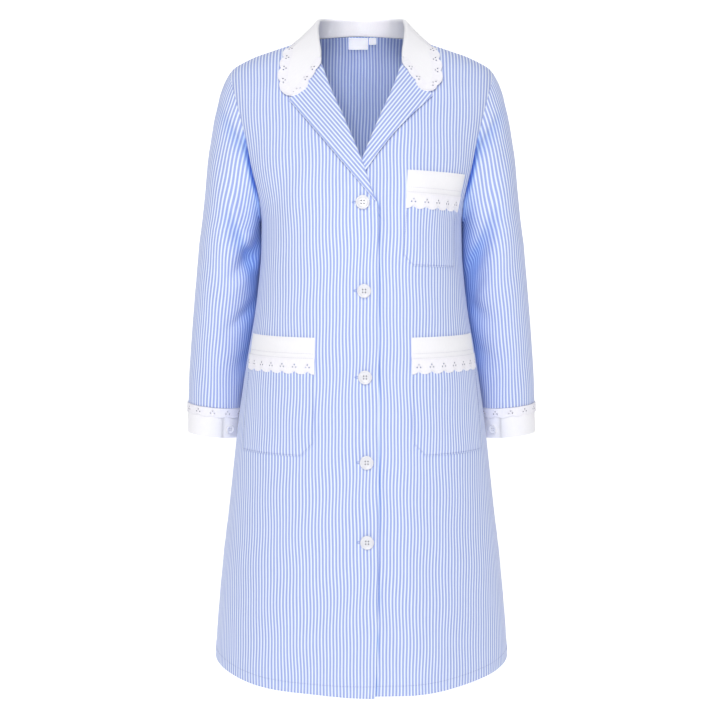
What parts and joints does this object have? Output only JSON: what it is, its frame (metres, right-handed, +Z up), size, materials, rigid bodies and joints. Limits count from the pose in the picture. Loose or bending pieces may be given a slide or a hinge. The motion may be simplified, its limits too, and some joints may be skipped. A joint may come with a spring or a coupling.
{
  "type": "housekeeping tunic",
  "caption": "Knee-length long-sleeved housekeeping tunic in striped cotton, worn and hollow, with white collar, cuffs and pocket bands edged in lace, buttoned down the front.",
  "frame": {"origin": "midway between the shoulders at the level of the neck points, where the wearer's shoulders hold the garment up", "axes": "+Z up along the wearer, -Y to the front of the wearer, +X to the wearer's left"},
  "size_m": [0.5322, 0.3345, 0.9662],
  "materials": {
    "striped_poplin": "plain weave, matt, narrow white and blue stripes",
    "white_poplin": "plain weave, matt white",
    "white_lace": "embroidered cotton with small eyelets, matt white",
    "white_button": "satin white polyester",
    "label_tape": "smooth woven tape, blank"
  },
  "bodies": {
    "root": {"back": "striped_poplin", "button_1": "white_button", "button_2": "white_button", "button_3": "white_button", "button_4": "white_button", "button_5": "white_button", "collar": "white_poplin", "collar_lace": "white_lace", "cuff_button_left": "white_button", "cuff_button_right": "white_button", "cuff_lace_left": "white_lace", "cuff_lace_right": "white_lace", "cuff_left": "white_poplin", "cuff_right": "white_poplin", "front_left": "striped_poplin", "front_right": "striped_poplin", "lapel_left": "striped_poplin", "lapel_right": "striped_poplin", "neck_label": "label_tape", "pocket_chest": "striped_poplin", "pocket_chest_band": "white_poplin", "pocket_chest_lace": "white_lace", "pocket_left": "striped_poplin", "pocket_left_band": "white_poplin", "pocket_left_lace": "white_lace", "pocket_right": "striped_poplin", "pocket_right_band": "white_poplin", "pocket_right_lace": "white_lace", "size_tab": "label_tape", "sleeve_left": "striped_poplin", "sleeve_right": "striped_poplin"}
  },
  "joints": []
}
